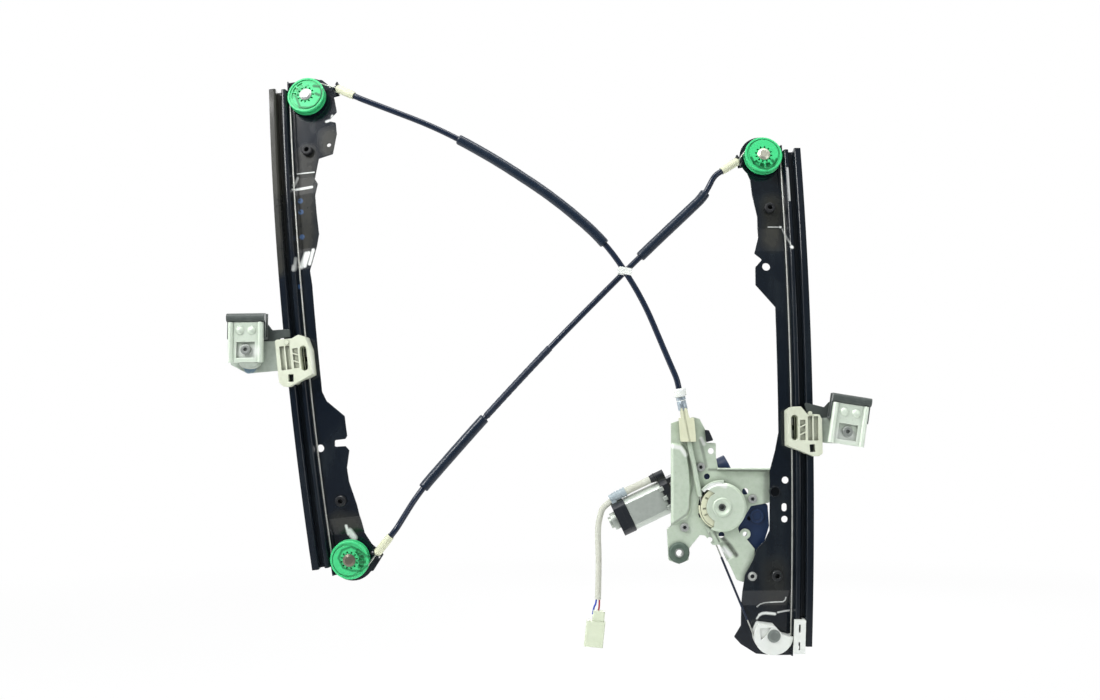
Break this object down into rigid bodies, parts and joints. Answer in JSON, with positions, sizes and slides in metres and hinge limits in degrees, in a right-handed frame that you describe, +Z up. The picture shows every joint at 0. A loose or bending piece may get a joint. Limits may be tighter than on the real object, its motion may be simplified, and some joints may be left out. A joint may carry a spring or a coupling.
{
  "type": "window regulator",
  "caption": "Electric twin-rail cable window regulator: curved black guide rails, green pulleys, glass clamps, worm-gear motor with cable drum, and crossed cable conduits.",
  "frame": {"origin": "centre of the datum hole in the right rail's web, at the middle of the sheet", "axes": "+X to the right seen from the glass side, +Y inwards through the door, +Z up"},
  "size_m": [0.6386, 0.0871, 0.5931],
  "materials": {
    "black_steel": "black dip paint, satin",
    "dark_nut": "black paint over the weld nut",
    "zinc_steel": "bright zinc",
    "zinc_plate": "pressed sheet, clear zinc",
    "motor_zinc": "drawn can, clear zinc",
    "green_nylon": "moulded, bright green",
    "white_nylon": "moulded, natural white",
    "ivory_nylon": "moulded, ivory",
    "steel_rope": "stranded, greased",
    "black_conduit": "extruded, black",
    "black_foam": "foam sleeve",
    "black_tape": "cloth tape",
    "black_rubber": "moulded",
    "grey_rubber": "moulded",
    "black_plastic": "moulded, glass filled",
    "white_lead": "woven sleeve",
    "blue_wire": "wire insulation"
  },
  "bodies": {
    "frame": {"bottom_cable_guide": "white_nylon", "brush_holder": "black_plastic", "cable_guide_rivet": "zinc_steel", "cable_inlet_guide": "ivory_nylon", "conduit_adjuster": "ivory_nylon", "conduit_ferrules": "ivory_nylon", "conduit_tie": "white_nylon", "connector_housing": "white_nylon", "crossing_conduit": "black_conduit", "crossing_conduit_foam": "black_foam", "crossing_conduit_tape": "black_tape", "drive_plate": "zinc_plate", "drum_cover": "zinc_plate", "gear_housing": "black_plastic", "grommet_sleeve": "zinc_steel", "housing_screws": "zinc_steel", "lead_sleeve": "white_nylon", "lead_strap": "grey_rubber", "lead_wires": "blue_wire", "left_guide_rail": "black_steel", "left_rail_rope": "steel_rope", "motor_can": "motor_zinc", "motor_end_band": "black_plastic", "motor_end_cap": "motor_zinc", "motor_lead": "white_lead", "plate_clip": "black_plastic", "plate_grommet": "grey_rubber", "plate_rivets": "zinc_steel", "pulley_pins": "zinc_steel", "rail_end_stop": "white_nylon", "rail_weld_nuts": "dark_nut", "right_guide_rail": "black_steel", "right_rail_rope": "steel_rope", "rope_sheath": "black_conduit", "upper_conduit": "black_conduit", "upper_conduit_foam": "black_foam", "upper_drum_rope": "steel_rope"},
    "left_carrier": {"left_slider": "white_nylon", "left_carrier_arm": "zinc_plate", "left_glass_clamp": "zinc_plate", "left_clamp_rubber": "black_rubber", "left_clamp_screw": "zinc_steel", "left_cable_nipples": "zinc_steel"},
    "right_carrier": {"right_slider": "white_nylon", "right_carrier_arm": "zinc_plate", "right_glass_clamp": "zinc_plate", "right_clamp_rubber": "black_rubber", "right_clamp_screw": "zinc_steel", "right_cable_nipples": "zinc_steel"},
    "top_left_pulley": {"top_left_pulley": "green_nylon"},
    "bottom_left_pulley": {"bottom_left_pulley": "green_nylon"},
    "top_right_pulley": {"top_right_pulley": "green_nylon"},
    "drum": {"cable_drum": "ivory_nylon", "drum_spindle": "zinc_steel"}
  },
  "joints": [
    {"name": "right_carrier_travel", "type": "hinge", "parent": "frame", "child": "right_carrier", "pos_m": [-0.0628, 1.19836, 0], "axis": [-0.9986, -0.0523, 0], "range_deg": [-7, 10.7]},
    {"name": "left_carrier_travel", "type": "hinge", "parent": "frame", "child": "left_carrier", "pos_m": [-0.33807, 1.19343, 0.0696], "axis": [-0.9873, 0.1038, -0.1201], "range_deg": [-7, 10.7]},
    {"name": "top_left_pulley_spin", "type": "hinge", "parent": "frame", "child": "top_left_pulley", "pos_m": [-0.48671, 0.04444, 0.39449], "axis": [0.133, 0.954, -0.2689], "range_deg": [-473, 720]},
    {"name": "bottom_left_pulley_spin", "type": "hinge", "parent": "frame", "child": "bottom_left_pulley", "pos_m": [-0.43343, 0.0032, -0.07903], "axis": [0.0887, 0.9882, 0.1247], "range_deg": [-473, 720]},
    {"name": "top_right_pulley_spin", "type": "hinge", "parent": "frame", "child": "top_right_pulley", "pos_m": [-0.01376, 0.04287, 0.33208], "axis": [-0.0503, 0.9598, -0.276], "range_deg": [-720, 473]},
    {"name": "drum_spin", "type": "hinge", "parent": "frame", "child": "drum", "pos_m": [-0.063, 0.004, -0.027], "axis": [0, 1, 0], "range_deg": [-683, 448]}
  ],
  "couplings": [
    {"joint": "left_carrier_travel", "follows": "right_carrier_travel", "ratio": 1},
    {"joint": "top_left_pulley_spin", "follows": "right_carrier_travel", "ratio": 66.844},
    {"joint": "bottom_left_pulley_spin", "follows": "right_carrier_travel", "ratio": 66.844},
    {"joint": "top_right_pulley_spin", "follows": "right_carrier_travel", "ratio": -66.844},
    {"joint": "drum_spin", "follows": "right_carrier_travel", "ratio": -63.326}
  ]
}
